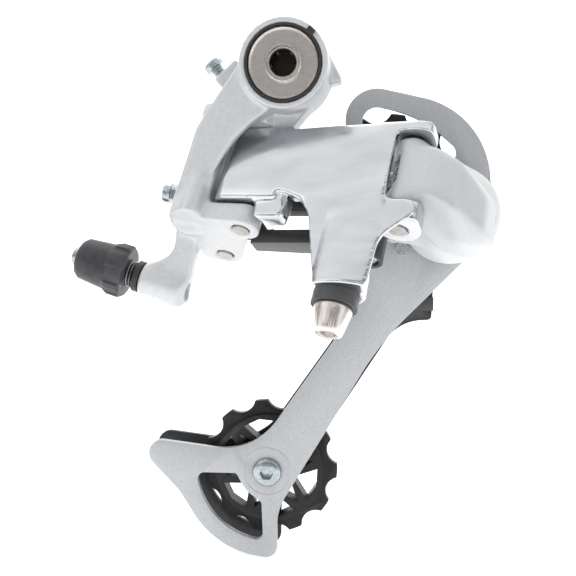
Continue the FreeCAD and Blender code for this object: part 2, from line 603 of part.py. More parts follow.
def p_knuckle_spaces():
    """Room for the link ears, the pivots, the return spring and the cage spring."""
    x, y = OUTER_FRONT
    inner_x, inner_y = INNER_FRONT
    spring = cylinder("cage_spring_room", 11.6, 30, Vector(AXLE.x, -21.0, AXLE.z), INBOARD)
    core = cylinder("cage_bush_tube", 6.6, 40, Vector(AXLE.x, -22.0, AXLE.z), INBOARD)
    room = DOC.addObject("Part::Cut", "cage_spring_annulus")
    room.Base = spring
    room.Tool = core
    pin_bore = size("pin_radius") + size("pin_fit")
    slot = polygon([(x - 9, -7.5), (x - 2.6, -7.5), (x - 2.6, 1.0), (x - 9, 1.0)])
    return [
        room,
        cylinder("cage_tube_end", 12.0, 30, Vector(AXLE.x, -2.6, AXLE.z), INBOARD),
        cylinder("cage_bush_bore", 5.6, 60, Vector(AXLE.x, -27.2, AXLE.z), INBOARD),
        cylinder("high_ear_room", 8.8, 20, at_links(x, y, 25.5), PIN_DIRECTION),
        cylinder("low_ear_room", 8.8, 20, at_links(x, y, -16.2), PIN_DIRECTION),
        cylinder("return_spring_room", 4.8, 10.4, at_links(x, y, 9.55), PIN_DIRECTION),
        link_prism("return_spring_slot", slot, 9.55, 19.95),
        cylinder("outer_front_pin_bore", pin_bore, 60, at_links(x, y, -10), PIN_DIRECTION),
        cylinder("inner_low_room", 5.4, 12, at_links(inner_x, inner_y, -7.0), PIN_DIRECTION),
        cylinder("inner_high_room", 5.4, 9, at_links(inner_x, inner_y, 16.3), PIN_DIRECTION),
        cylinder("inner_front_pin_bore", pin_bore + 0.1, 60, at_links(inner_x, inner_y, -10), PIN_DIRECTION),
    ]


def knuckle_fittings():
    """Cage bush and the three torsion springs."""
    axle_place = Placement(AXLE, Rotation())
    bush = tube("p_bushing", 5.6, size("axle_radius") + size("pin_fit"), -24.8, -3.0, axle_place)
    p_spring = coil("p_spring", 9.3, 0.85, 5, 11.5, along(AXLE + INBOARD * -17.5, INBOARD))
    b_spring = coil("b_spring", 9.3, 0.85, 5, 11.5, along(INBOARD * -17.5, INBOARD))
    return_place = along(at_links(*OUTER_FRONT, 10.3), PIN_DIRECTION)
    return_spring = coil("return_spring", 3.7, 0.6, 5, 8.6, return_place)
    return [bush, p_spring, b_spring, return_spring]


# ---------------------------------------------------------------- cage
def tail_outline():
    """Circles of the tail, down the arm's rear edge, round both horns and up its front edge."""
    x, z = TENSION.x, TENSION.z
    return [(-12, -58, -36), (x - 15.6, z + 30.3, -22.5), (x - 37, z + 5.1, 4.8), (x - 47, z - 20.3, -20),
            (x, z, size("tail_radius")), (x - 0.8, z - 26.5, 4.2), (x + 23.4, z - 19.1, -20)]


def tail_window():
    """Circles of the tail's window: concentric with the tension pulley outside and with its boss inside."""
    x, z = TENSION.x, TENSION.z
    rim = size("tail_radius") - size("tail_rim")
    return [(x, z, rim), (x - 4, z - 21.9, 2.4), (x - 3.6, z - 11.7, 1.6), (x, z, -size("tail_boss_radius")),
            (x - 11.6, z - 2.3, 1.4), (x - 22, z - 3.5, 2.4)]


def outer_cage_plate():
    """Outer plate: loop round the guide pulley, long arm and a forked tail with a window."""
    x, z = GUIDE.x, GUIDE.z
    loop = [(AXLE.x, AXLE.z, 14.5), (x + 4.4, z + 0.7, 28), (x - 4.1, z + 21.2, 10)]
    arm_front = [(109, -146, -100)]
    opening = [(x + 18.2, z + 10.5, 3.2), (x - 9.1, z - 14.5, 40), (x - 4, z + 20.7, 4.6),
               (x - 4.6, z + 15.3, 3.4)]
    start = size("plate_outer")
    end = start + size("outer_thick")
    plate = side_prism("outer_plate_blank", rounded(loop + tail_outline() + arm_front), start, end)
    cutters = [side_prism("loop_opening", rounded(opening), start - 1, end + 1),
               side_prism("tail_window", rounded(tail_window()), start - 1, end + 1)]
    return cut("outer_cage_plate", plate, cutters + plate_holes("outer"))


def inner_cage_plate():
    """Inner plate: a narrow hook over the guide pulley, an arm, a chain foot and a windowed tail."""
    hook = [(AXLE.x - 5.5, AXLE.z + 1, 16), (GUIDE.x, GUIDE.z, 10.2)]
    foot_sides = [(43.5, -94, -15), (44.6, -77.4, 1.5), (50.5, -66, -4)]
    start = INNER_PLATE
    end = start + size("inner_thick")
    plate = side_prism("inner_plate_blank", rounded(hook + tail_outline() + foot_sides), start, end)
    foot = block("chain_foot", 8.4, 4.5, 3.4, along(Vector(42.2, INNER_PLATE - 3.3, -73.0), INBOARD))
    window = side_prism("inner_tail_window", rounded(tail_window()), start - 1, end + 1)
    cutters = [window] + plate_holes("inner")[:2]
    return cut("inner_cage_plate", fuse("inner_plate_solid", [plate, foot]), cutters)


def plate_holes(side):
    """Bolt holes at both pulleys and the axle hole."""
    holes = []
    for name, centre, radius in (("guide", GUIDE, "bolt_radius"), ("tension", TENSION, "bolt_radius"),
                                 ("axle", AXLE, "axle_radius")):
        holes.append(cylinder(f"{side}_{name}_hole", radius, 30, centre, INBOARD))
    return holes


def cage_fittings():
    """Axle with its flange, the stop pin, the two pulley bolts with sleeves and dust caps."""
    outer = size("plate_outer")
    axle = lathe("cage_axle", [(0, -26.5), (3.4, -26.5), ("axle_radius", -25.9), ("axle_radius", 3.2),
                               (10.6, 3.2), (10.6, outer), ("axle_radius", outer),
                               ("axle_radius", PLATE_INSIDE + 0.1), (0, PLATE_INSIDE + 0.1)],
                 Placement(AXLE, Rotation()))
    stop_pin = cylinder("cage_stop_pin", 2.0, outer + 4.2, on_axle_circle(18.0, 216.0, -4.2), INBOARD)
    parts = [axle, stop_pin]
    for name, centre in (("guide", GUIDE), ("tension", TENSION)):
        place = Placement(centre, Rotation())
        end = INNER_PLATE + size("inner_thick") + 0.8
        bolt = lathe(f"{name}_pulley_bolt", [
            (0, outer - 1.7), (3.6, outer - 1.7), (4.6, outer - 1.2), ("bolt_head_radius", outer - 0.5),
            ("bolt_head_radius", outer), ("bolt_radius", outer), ("bolt_radius", end), (0, end)], place)
        pocket_hexagon(bolt, 4.0, outer - 1.7, 2.4)
        sleeve = tube(f"{name}_pulley_sleeve", "sleeve_radius", "bolt_radius", PLATE_INSIDE, INNER_PLATE,
                      place)
        gap = (size("plate_gap") - size("hub_width")) / 2
        caps = [tube(f"{name}_cap_{side}", 7.4, "sleeve_radius", start, start + 0.35, place)
                for side, start in (("outer", PLATE_INSIDE + 0.05), ("inner", INNER_PLATE - 0.4))]
        assert gap > 0.45
        compound = DOC.addObject("Part::Compound", f"{name}_pulley_caps")
        compound.Links = caps
        parts += [bolt, sleeve, compound]
    return parts


def pulley(name, centre, turn):
    """Eleven-tooth pulley: toothed web, stiff rim, hub and a ring of triangular windows."""
    body = DOC.addObject("PartDesign::Body", name)
    for part, radius, width in (("teeth", "tip_radius", "tooth_width"), ("web", "web_radius", "web_width"),
                                ("hub", "hub_radius", "hub_width")):
        sketch = new_sketch(body, f"{name}_{part}", "XZ_Plane")
        draw_circle(sketch, 0, 0, radius)
        pad = body.newObject("PartDesign::Pad", f"{name}_{part}_pad")
        pad.Profile = sketch
        pad.SideType = "Symmetric"
        pad.setExpression("Length", cell(width))
    DOC.recompute()
    valley = new_sketch(body, f"{name}_valley", "XZ_Plane")
    draw_circle(valley, size("valley_distance"), 0, "valley_radius")
    through_pocket(body, valley, f"{name}_valley_cut", int(size("teeth")))
    for kind, corners in (("outward", [(8.8, 26), (17.0, 6), (17.6, 26), (17.0, 46)]),
                          ("inward", [(15.4, 56), (8.6, 35), (8.2, 56), (8.6, 77)])):
        sketch = new_sketch(body, f"{name}_{kind}", "XZ_Plane")
        points = [(radius * math.cos(math.radians(angle)), radius * math.sin(math.radians(angle)))
                  for radius, angle in corners]
        sketch.addGeometry(polygon(points), False)
        through_pocket(body, sketch, f"{name}_{kind}_cut", 6)
    bore = new_sketch(body, f"{name}_bore", "XZ_Plane")
    draw_circle(bore, 0, 0, size("sleeve_radius") + size("pin_fit"))
    through_pocket(body, bore, f"{name}_bore_cut", 1)
    body.Placement = Placement(centre + INBOARD * PULLEY_MIDDLE, Rotation(INBOARD, turn))
    return body


def through_pocket(body, sketch, name, count):
    """A cut right through both ways, repeated evenly round the axis."""
    before = body.Shape.Volume
    pocket = body.newObject("PartDesign::Pocket", name)
    pocket.Profile = sketch
    pocket.Type = "ThroughAll"
    pocket.SideType = "Symmetric"
    DOC.recompute()
    if count > 1:
        pattern = body.newObject("PartDesign::PolarPattern", f"{name}_pattern")
        pattern.Originals = [pocket]
        pattern.Axis = (plane_of(body, "Y_Axis"), [""])
        pattern.Angle = 360
        pattern.Occurrences = count
        body.Tip = pattern
        DOC.recompute()
    assert body.Shape.Volume < before - 1, name


# ---------------------------------------------------------------- whole object
def build():
    """Every sub-part, each an object whose Label is its name."""
    parts = [mount_bolt(), b_stop_plate(), b_knuckle(), outer_link(), inner_link(), p_knuckle(),
             outer_cage_plate(), inner_cage_plate()]
    for group in (bushes_and_rings, link_pins, screws, cable_adjuster, cable_anchor, inner_link_fittings,
                  knuckle_fittings, cage_fittings):
        parts += group()
    parts.append(pulley("guide_pulley", GUIDE, -0.9))
    parts.append(pulley("tension_pulley", TENSION, -14.8))
    return parts


def check_and_export(parts):
    """Stop on any failed object, then write one file per sub-part."""
    DOC.recompute()
    faults = [f"{item.Label}: {item.State}" for item in DOC.Objects if {"Invalid", "Error"} & set(item.State)]
    for part in parts:
        shape = part.Shape
        if shape.isNull() or not shape.isValid() or not shape.Solids:
            faults.append(f"{part.Label}: no valid solid")
        elif len(shape.Solids) != 1 and not part.Label.endswith("_caps"):
            faults.append(f"{part.Label}: {len(shape.Solids)} solids")
    if faults:
        raise RuntimeError("\n".join(faults))
    os.makedirs("parts", exist_ok=True)
    for part in parts:
        part.Shape.exportStep(f"parts/{part.Label}.step")


check_and_export(build())
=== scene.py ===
import json
import math

import bmesh
import bpy
from mathutils import Matrix, Vector

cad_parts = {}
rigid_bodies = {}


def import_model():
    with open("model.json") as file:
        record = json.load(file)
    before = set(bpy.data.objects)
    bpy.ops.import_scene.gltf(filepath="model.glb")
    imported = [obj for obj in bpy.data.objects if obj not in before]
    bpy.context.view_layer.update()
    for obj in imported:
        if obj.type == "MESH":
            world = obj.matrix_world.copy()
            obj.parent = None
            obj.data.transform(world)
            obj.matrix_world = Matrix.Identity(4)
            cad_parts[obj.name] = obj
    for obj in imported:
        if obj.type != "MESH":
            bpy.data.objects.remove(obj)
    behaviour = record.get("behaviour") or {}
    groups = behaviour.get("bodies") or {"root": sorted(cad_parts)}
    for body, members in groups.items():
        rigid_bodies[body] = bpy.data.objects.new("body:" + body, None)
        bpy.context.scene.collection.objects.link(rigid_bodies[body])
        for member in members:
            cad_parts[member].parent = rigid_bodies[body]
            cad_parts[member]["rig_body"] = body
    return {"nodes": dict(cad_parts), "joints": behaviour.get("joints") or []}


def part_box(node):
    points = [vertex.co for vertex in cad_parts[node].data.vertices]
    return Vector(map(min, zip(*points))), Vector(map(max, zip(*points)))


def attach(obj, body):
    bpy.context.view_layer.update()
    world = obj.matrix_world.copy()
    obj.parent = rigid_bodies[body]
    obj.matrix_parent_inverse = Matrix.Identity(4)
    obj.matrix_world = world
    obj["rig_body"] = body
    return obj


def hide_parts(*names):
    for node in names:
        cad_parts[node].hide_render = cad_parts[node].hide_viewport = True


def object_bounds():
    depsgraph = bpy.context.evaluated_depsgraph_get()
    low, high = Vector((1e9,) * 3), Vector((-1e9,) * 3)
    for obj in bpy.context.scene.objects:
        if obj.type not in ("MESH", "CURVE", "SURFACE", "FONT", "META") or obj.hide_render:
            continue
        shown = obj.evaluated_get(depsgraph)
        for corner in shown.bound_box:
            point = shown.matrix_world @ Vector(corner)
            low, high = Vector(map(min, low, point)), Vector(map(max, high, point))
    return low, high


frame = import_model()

cad_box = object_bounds()
NODES = frame["nodes"]
JOINTS = {joint["name"]: joint for joint in frame["joints"]}
MM = 0.001

# Sizes in millimetres unless a name says otherwise.
RING_COUNT = 24
# The radius inside which the mount bolt's hex socket gets painted shade.
SOCKET_SHADE_RADIUS = 3.9
BELL_SIDES = 64
BELL_WALL = 1.3
BELL_RINGS = ((-14, -0.6, 0.5, 13.9), (-24, -2.1, 1.7, 11.4))
SCREW_HEAD_RADIUS = 3.2
SCREW_HEAD_HEIGHT = 2.8
SCREW_SHANK_RADIUS = 2.0
SCREW_PITCH = 0.8
SCREW_SIDES = 40
SCREW_SMOOTH_ANGLE = math.radians(38)
RECESS_BLADES = ((4.0, 0.8), (0.8, 4.0))
RECESS_HEIGHT = 2.6
BOSS_RING_RADIUS = 8.4
BOSS_RING_WIRE = 0.45
BOSS_RING_SINK = 0.25
BOSS_RING_POINTS = 24
CORNER_SEGMENTS = 2
CORNER_ANGLE = math.radians(50)
SMOOTH_ANGLE = math.radians(32)
LINK_BACK = -5.4
LINK_CROWN = 0.55

# The camera: a long lens from the outboard side, a little below the hanger bolt, in the row frame.
CAMERA_PLACE = Vector((26.6, -237.1, -43.1)) * MM
CAMERA_TARGET = Vector((-1.6, 0.0, -66.8)) * MM
CAMERA_LENS = 45.75


# ---------------------------------------------------------------- the links' own frame
def joint_place(name):
    """A point on a joint's axis, in the row frame."""
    return Vector(JOINTS[name]["pos_m"])


PIN_AXIS = Vector(JOINTS["link_swing"]["axis"]).normalized()
REAR_PIN = joint_place("link_swing")
FRONT_PIN = joint_place("knuckle_swing")
LINK_ALONG = FRONT_PIN - REAR_PIN
LINK_ALONG = (LINK_ALONG - PIN_AXIS * LINK_ALONG.dot(PIN_AXIS)).normalized()
LINK_ACROSS = PIN_AXIS.cross(LINK_ALONG)
LINK_FRAME = Matrix.Translation(REAR_PIN) @ Matrix((LINK_ALONG, LINK_ACROSS, PIN_AXIS)).transposed().to_4x4()


# ---------------------------------------------------------------- materials
def node_of(tree, kind, **settings):
    """A shader node with its properties and input values set."""
    node = tree.nodes.new(kind)
    for name, value in settings.items():
        if hasattr(node, name):
            setattr(node, name, value)
        else:
            node.inputs[name.replace("_", " ")].default_value = value
    return node


def noise(tree, scale, detail=3.0, stretch=None):
    """Noise in the object's own metres; scale is in cycles a metre, stretch squeezes it along one axis."""
    place = node_of(tree, "ShaderNodeTexCoord").outputs["Object"]
    if stretch:
        mapping = node_of(tree, "ShaderNodeMapping")
        mapping.inputs["Scale"].default_value = stretch
        tree.links.new(place, mapping.inputs["Vector"])
        place = mapping.outputs["Vector"]
    texture = node_of(tree, "ShaderNodeTexNoise")
    texture.inputs["Scale"].default_value = scale
    texture.inputs["Detail"].default_value = detail
    tree.links.new(place, texture.inputs["Vector"])
    return texture.outputs["Fac"]


def spread(tree, value, low, high, start=0.3, end=0.7):
    """A texture value mapped to a range."""
    node = node_of(tree, "ShaderNodeMapRange")
    for name, number in (("From Min", start), ("From Max", end), ("To Min", low), ("To Max", high)):
        node.inputs[name].default_value = number
    tree.links.new(value, node.inputs["Value"])
    return node.outputs["Result"]


def tinted(tree, factor, first, second):
    """A colour between two, by a factor."""
    mix = node_of(tree, "ShaderNodeMix", data_type="RGBA")
    mix.inputs["A"].default_value = (*first, 1)
    mix.inputs["B"].default_value = (*second, 1)
    tree.links.new(factor, mix.inputs["Factor"])
    return mix.outputs["Result"]


def bumped(tree, height, strength, depth, base=None):
    """A bump normal; depth is in metres."""
    bump = node_of(tree, "ShaderNodeBump")
    bump.inputs["Strength"].default_value = strength
    bump.inputs["Distance"].default_value = depth
    tree.links.new(height, bump.inputs["Height"])
    if base:
        tree.links.new(base, bump.inputs["Normal"])
    return bump.outputs["Normal"]


def finish(name, dark, light, metallic, rough, grain=None, patches=400.0, stretch=None, edge=None, gloss=0.5):
    """A surface with patchy colour and roughness, fine grain and, where asked, a lighter colour on convex
    corners.

    dark and light are the two ends of its colour, rough the range of its roughness, grain a pair of
    cycles a metre and depth in metres, edge the colour it takes on convex corners, and gloss the
    strength of a plastic's or paint's reflection.
    """
    material = bpy.data.materials.new(name)
    material.use_nodes = True
    tree = material.node_tree
    shader = tree.nodes["Principled BSDF"]
    shader.inputs["Metallic"].default_value = metallic
    shader.inputs["Specular IOR Level"].default_value = gloss
    mottle = noise(tree, patches, 4.0, stretch)
    colour = tinted(tree, spread(tree, mottle, 0.0, 1.0), dark, light)
    if edge:
        # Convex corners, found by pointiness, are mixed towards the edge colour.
        pointy = node_of(tree, "ShaderNodeNewGeometry").outputs["Pointiness"]
        bright = spread(tree, pointy, 0.0, 0.8, 0.52, 0.58)
        mix = node_of(tree, "ShaderNodeMix", data_type="RGBA")
        tree.links.new(bright, mix.inputs["Factor"])
        tree.links.new(colour, mix.inputs["A"])
        mix.inputs["B"].default_value = (*edge, 1)
        colour = mix.outputs["Result"]
    tree.links.new(colour, shader.inputs["Base Color"])
    tree.links.new(spread(tree, noise(tree, patches * 2.7, 5.0, stretch), *rough), shader.inputs["Roughness"])
    if grain:
        cycles, depth = grain
        fine = bumped(tree, noise(tree, cycles, 2.0, stretch), 0.6, depth)
        broad = bumped(tree, noise(tree, 180.0, 2.0), 0.12, depth * 3, fine)
        tree.links.new(broad, shader.inputs["Normal"])
    return material


def spun(name, dark, light, rough, centre, axis, socket_shade_radius):
    """Lathe-turned metal: fine rings round an axis, with patchy colour and painted shade darkening its
    socket.
    """
    material = finish(name, dark, light, 1.0, rough, None, 500.0)
    tree = material.node_tree
    shader = tree.nodes["Principled BSDF"]
    place = node_of(tree, "ShaderNodeTexCoord").outputs["Object"]
    offset = node_of(tree, "ShaderNodeVectorMath", operation="SUBTRACT")
    offset.inputs[1].default_value = centre
    tree.links.new(place, offset.inputs[0])
    cross = node_of(tree, "ShaderNodeVectorMath", operation="CROSS_PRODUCT")
    cross.inputs[1].default_value = axis
    tree.links.new(offset.outputs["Vector"], cross.inputs[0])
    length = node_of(tree, "ShaderNodeVectorMath", operation="LENGTH")
    tree.links.new(cross.outputs["Vector"], length.inputs[0])
    distance = length.outputs["Value"]
    sine = node_of(tree, "ShaderNodeMath", operation="SINE")
    tree.links.new(spread(tree, distance, 0.0, RING_COUNT * math.pi, 0.0, 0.01), sine.inputs[0])
    tree.links.new(bumped(tree, sine.outputs["Value"], 0.2, 0.000004), shader.inputs["Normal"])
    # Painted shade: a near-black colour inside the socket's radius stands in for the shade deep in the hex
    # socket.
    mix = node_of(tree, "ShaderNodeMix", data_type="RGBA")
    outside_socket_shade = spread(tree, distance, 0.0, 1.0, socket_shade_radius * 0.98, socket_shade_radius * 1.04)
    tree.links.new(outside_socket_shade, mix.inputs["Factor"])
    mix.inputs["A"].default_value = (0.035, 0.030, 0.026, 1)
    tree.links.new(shader.inputs["Base Color"].links[0].from_socket, mix.inputs["B"])
    tree.links.new(mix.outputs["Result"], shader.inputs["Base Color"])
    return material


def make_materials():
    """One finish for each of the record's material slots."""
    return {
        "knuckle_paint": finish("silver_casting_paint", (0.60, 0.61, 0.62), (0.66, 0.67, 0.68), 0.30,
                                (0.36, 0.44), (5200.0, 0.00002), 700.0, edge=(0.74, 0.75, 0.76)),
        "polished_alloy": finish("polished_forging", (0.56, 0.57, 0.59), (0.66, 0.67, 0.69), 1.0,
                                 (0.14, 0.22), (1500.0, 0.000003), 160.0, (0.25, 1.0, 1.0),
                                 edge=(0.86, 0.86, 0.86)),
        "knuckle_grey": finish("grey_casting_paint", (0.57, 0.58, 0.59), (0.62, 0.63, 0.64), 0.25,
                               (0.40, 0.48), (5200.0, 0.00002), 1500.0),
        "cage_paint": finish("grained_cage_paint", (0.40, 0.41, 0.42), (0.55, 0.56, 0.57), 0.4,
                             (0.42, 0.52), (4200.0, 0.00003), 3200.0, edge=(0.64, 0.65, 0.66)),
        "black_steel": finish("black_coated_steel", (0.008, 0.008, 0.009), (0.018, 0.018, 0.020), 0.0,
                              (0.34, 0.46), (3600.0, 0.00001), 600.0, edge=(0.09, 0.09, 0.09), gloss=0.4),
        "nickel": spun("turned_nickel", (0.72, 0.67, 0.63), (0.76, 0.71, 0.67), (0.26, 0.32), (0, 0, 0),
                       (0, 1, 0), SOCKET_SHADE_RADIUS * MM),
        "zinc": finish("zinc_plate", (0.36, 0.40, 0.42), (0.50, 0.54, 0.56), 1.0, (0.20, 0.32),
                       (2600.0, 0.000001), 900.0),
        "pin_steel": finish("plain_pin_steel", (0.36, 0.35, 0.33), (0.50, 0.48, 0.46), 1.0, (0.26, 0.40),
                            (3000.0, 0.000004), 900.0),
        "spring_steel": finish("spring_wire", (0.12, 0.12, 0.13), (0.30, 0.30, 0.31), 1.0, (0.22, 0.38),
                               (3000.0, 0.000004), 700.0),
        "black_plastic": finish("moulded_nylon", (0.006, 0.006, 0.006), (0.015, 0.015, 0.016), 0.0,
                                (0.32, 0.46), (2400.0, 0.00001), 500.0, edge=(0.05, 0.05, 0.05), gloss=0.32),
        "knob_plastic": finish("charcoal_plastic", (0.030, 0.030, 0.033), (0.050, 0.050, 0.054), 0.0,
                               (0.38, 0.52), (2000.0, 0.00002), 450.0, edge=(0.10, 0.10, 0.11), gloss=0.4),
        "bearing_plastic": finish("bearing_plastic", (0.22, 0.22, 0.20), (0.32, 0.32, 0.29), 0.0,
                                  (0.36, 0.50), (2600.0, 0.00001), 600.0),
        "brass": finish("bearing_bronze", (0.46, 0.35, 0.18), (0.66, 0.54, 0.30), 1.0, (0.26, 0.40),
                        (2800.0, 0.000004), 700.0),
    }


# ---------------------------------------------------------------- pieces made from CAD nodes
def slot_name(node):
    """The record's material slot of a CAD node."""
    return node.material_slots[0].material.name.split(".")[0]


def piece_from(node_name, mesh, suffix):
    """A new object for a CAD node: it rides on the node's body, replaces it and takes its finish."""
    node = NODES[node_name]
    obj = linked(f"{node_name}_{suffix}", mesh)
    mesh.materials.clear()
    mesh.materials.append(MATERIALS[slot_name(node)])
    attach(obj, node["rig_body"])
    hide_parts(node_name)
    return obj


def evaluated(obj):
    """The object's mesh with its modifiers applied."""
    bpy.context.view_layer.update()
    graph = bpy.context.evaluated_depsgraph_get()
    return bpy.data.meshes.new_from_object(obj.evaluated_get(graph))


def linked(name, data):
    """A new object for a mesh, curve, light or camera, in the scene."""
    obj = bpy.data.objects.new(name, data)
    bpy.context.scene.collection.objects.link(obj)
    return obj


def smoothed(mesh, rounds, weight=None):
    """The mesh after rounds of smoothing; weight gives each point's share of it, from 0 to 1."""
    source = linked("smoothing_source", mesh)
    smooth = source.modifiers.new("smooth", "SMOOTH")
    smooth.factor = 0.5
    smooth.iterations = rounds
    if weight:
        group = source.vertex_groups.new(name="share")
        for vertex in mesh.vertices:
            group.add([vertex.index], weight(vertex.co), "REPLACE")
        smooth.vertex_group = group.name
    result = evaluated(source)
    bpy.data.objects.remove(source)
    return result


def casting(node_name, voxel, rounds, soft=None, soft_rounds=0, shaping=None, extra=()):
    """A CAD node as a casting: corners rounded over, inside corners filleted, softly shaded.

    soft is the share of a further soft_rounds of smoothing at each point, shaping moves points, and
    extra is meshes that become part of it.
    """
    shape = bmesh.new()
    for mesh in (NODES[node_name].data, *extra):
        shape.from_mesh(mesh)
    joined = bpy.data.meshes.new("casting_source")
    shape.to_mesh(joined)
    shape.free()
    source = linked("casting_source", joined)
    remesh = source.modifiers.new("skin", "REMESH")
    remesh.mode = "VOXEL"
    remesh.voxel_size = voxel
    mesh = evaluated(source)
    bpy.data.objects.remove(source)
    mesh = smoothed(mesh, rounds)
    if soft:
        mesh = smoothed(mesh, soft_rounds, soft)
    if shaping:
        for vertex in mesh.vertices:
            vertex.co = shaping(vertex.co)
    mesh.shade_smooth()
    return piece_from(node_name, mesh, "casting")


def ramp(value, start, end):
    """0 before start, 1 after end and smooth between; start may be more than end."""
    share = min(1.0, max(0.0, (value - start) / (end - start)))
    return share * share * (3 - 2 * share)


def below_ring(point):
    """The hanger knuckle is softest below its ring."""
    return ramp(point.z / MM, -14, -22) * ramp(point.x / MM, -8, -14)


def outboard_of_cage(point):
    """The cage knuckle is softest on its outboard side, away from its rim."""
    return ramp(point.y / MM, -3, -9)


def spring_lug_side(point):
    """The outer link is softest round the lug under its rear end."""
    x, _, z = (LINK_FRAME.inverted() @ point) / MM
    return ramp(z, 5, 2) * ramp(x, 22, 18)


def closed_mesh(name, shape):
    """A mesh from a bmesh, its faces turned outwards; the bmesh is used up."""
    bmesh.ops.recalc_face_normals(shape, faces=shape.faces)
    mesh = bpy.data.meshes.new(name)
    shape.to_mesh(mesh)
    shape.free()
    return mesh


def bell_lining():
    """A tapered ring inside the cage knuckle's wall, between its spring and its skin."""
    axis = joint_place("p_pivot")
    shape = bmesh.new()
    rings = []
    for distance, forward, up, radius in BELL_RINGS:
        for inset in (0, BELL_WALL):
            ring = []
            for k in range(BELL_SIDES):
                angle = 2 * math.pi * k / BELL_SIDES
                across = (radius - inset) * math.cos(angle) + forward
                height = (radius - inset) * math.sin(angle) + up
                ring.append(shape.verts.new((axis.x + across * MM, distance * MM, axis.z + height * MM)))
            rings.append(ring)
    for first, second in ((0, 1), (1, 3), (3, 2), (2, 0)):
        for k in range(BELL_SIDES):
            after = (k + 1) % BELL_SIDES
            shape.faces.new((rings[first][k], rings[first][after], rings[second][after], rings[second][k]))
    return closed_mesh("bell_lining", shape)


def screw_profile(length):
    """Radius and depth below the head's top, in turn, down a pan-head screw of that length."""
    profile = [(SCREW_HEAD_RADIUS - 1.0, 0.05), (SCREW_HEAD_RADIUS - 0.25, 0.45), (SCREW_HEAD_RADIUS, 1.1),
               (SCREW_HEAD_RADIUS, SCREW_HEAD_HEIGHT), (SCREW_SHANK_RADIUS, SCREW_HEAD_HEIGHT)]
    turns = int((length - SCREW_HEAD_HEIGHT - 1.2) / SCREW_PITCH)
    for turn in range(turns):
        start = SCREW_HEAD_HEIGHT + 0.4 + turn * SCREW_PITCH
        profile.append((SCREW_SHANK_RADIUS - 0.28, start))
        profile.append((SCREW_SHANK_RADIUS, start + SCREW_PITCH / 2))
    return profile + [(SCREW_SHANK_RADIUS - 0.5, length)]


def turned_screw(name, length):
    """The screw's body in millimetres, its head's top at the origin and its shank down -Z."""
    shape = bmesh.new()
    rings = []
    for radius, depth in screw_profile(length):
        ring = []
        for k in range(SCREW_SIDES):
            angle = 2 * math.pi * k / SCREW_SIDES
            ring.append(shape.verts.new((radius * math.cos(angle), radius * math.sin(angle), -depth)))
        rings.append(ring)
    for first, second in zip(rings, rings[1:]):
        for k in range(SCREW_SIDES):
            after = (k + 1) % SCREW_SIDES
            shape.faces.new((first[k], second[k], second[after], first[after]))
    shape.faces.new(rings[0])
    shape.faces.new(reversed(rings[-1]))
    return closed_mesh(name, shape)


def cross_recessed(mesh):
    """The mesh with a cross recess cut at the origin."""
    source = linked("screw_source", mesh)
    cutters = []
    for wide, tall in RECESS_BLADES:
        tool = bmesh.new()
        bmesh.ops.create_cube(tool, size=1.0, matrix=Matrix.Diagonal((wide, tall, RECESS_HEIGHT, 1)))
        blade = bpy.data.meshes.new("recess_blade")
        tool.to_mesh(blade)
        tool.free()
        cutter = linked("recess_cutter", blade)
        cutters.append(cutter)
        recess = source.modifiers.new("recess", "BOOLEAN")
        recess.operation = "DIFFERENCE"
        recess.object = cutter
    result = evaluated(source)
    for item in [source, *cutters]:
        bpy.data.objects.remove(item)
    return result


def machine_screw(node_name, joint):
    """A pan-head screw with a cross recess and a ribbed thread, on its CAD node's axis."""
    axis = Vector(JOINTS[joint]["axis"]).normalized()
    reach = [vertex.co.dot(axis) for vertex in NODES[node_name].data.vertices]
    low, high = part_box(node_name)
    centre = (low + high) / 2
    centre -= axis * centre.dot(axis)
    mesh = cross_recessed(turned_screw(f"{node_name}_turned", (max(reach) - min(reach)) / MM))
    turn = Vector((0, 0, 1)).rotation_difference(axis).to_matrix().to_4x4()
    mesh.transform(Matrix.Translation(centre + axis * max(reach)) @ turn @ Matrix.Scale(MM, 4))
    mesh.shade_smooth()
    mesh.set_sharp_from_angle(angle=SCREW_SMOOTH_ANGLE)
    return piece_from(node_name, mesh, "screw")


def boss_ring():
    """The ring stamped round the tension pulley's bolt, standing a little proud of the outer plate."""
    low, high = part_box("tension_pulley_bolt")
    centre = (low + high) / 2
    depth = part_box("outer_cage_plate")[0].y + BOSS_RING_SINK * MM
    curve = bpy.data.curves.new("boss_ring_path", "CURVE")
    curve.dimensions = "3D"
    curve.bevel_depth = BOSS_RING_WIRE * MM
    curve.bevel_resolution = 4
    spline = curve.splines.new("NURBS")
    spline.points.add(BOSS_RING_POINTS - 1)
    reach = BOSS_RING_RADIUS * MM
    for k, point in enumerate(spline.points):
        angle = 2 * math.pi * k / BOSS_RING_POINTS
        point.co = (centre.x + reach * math.cos(angle), depth, centre.z + reach * math.sin(angle), 1)
    spline.use_cyclic_u = True
    source = linked("boss_ring_path", curve)
    mesh = evaluated(source)
    bpy.data.objects.remove(source)
    mesh.shade_smooth()
    mesh.materials.append(MATERIALS["cage_paint"])
    ring = linked("tail_boss_ring", mesh)
    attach(ring, NODES["outer_cage_plate"]["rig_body"])


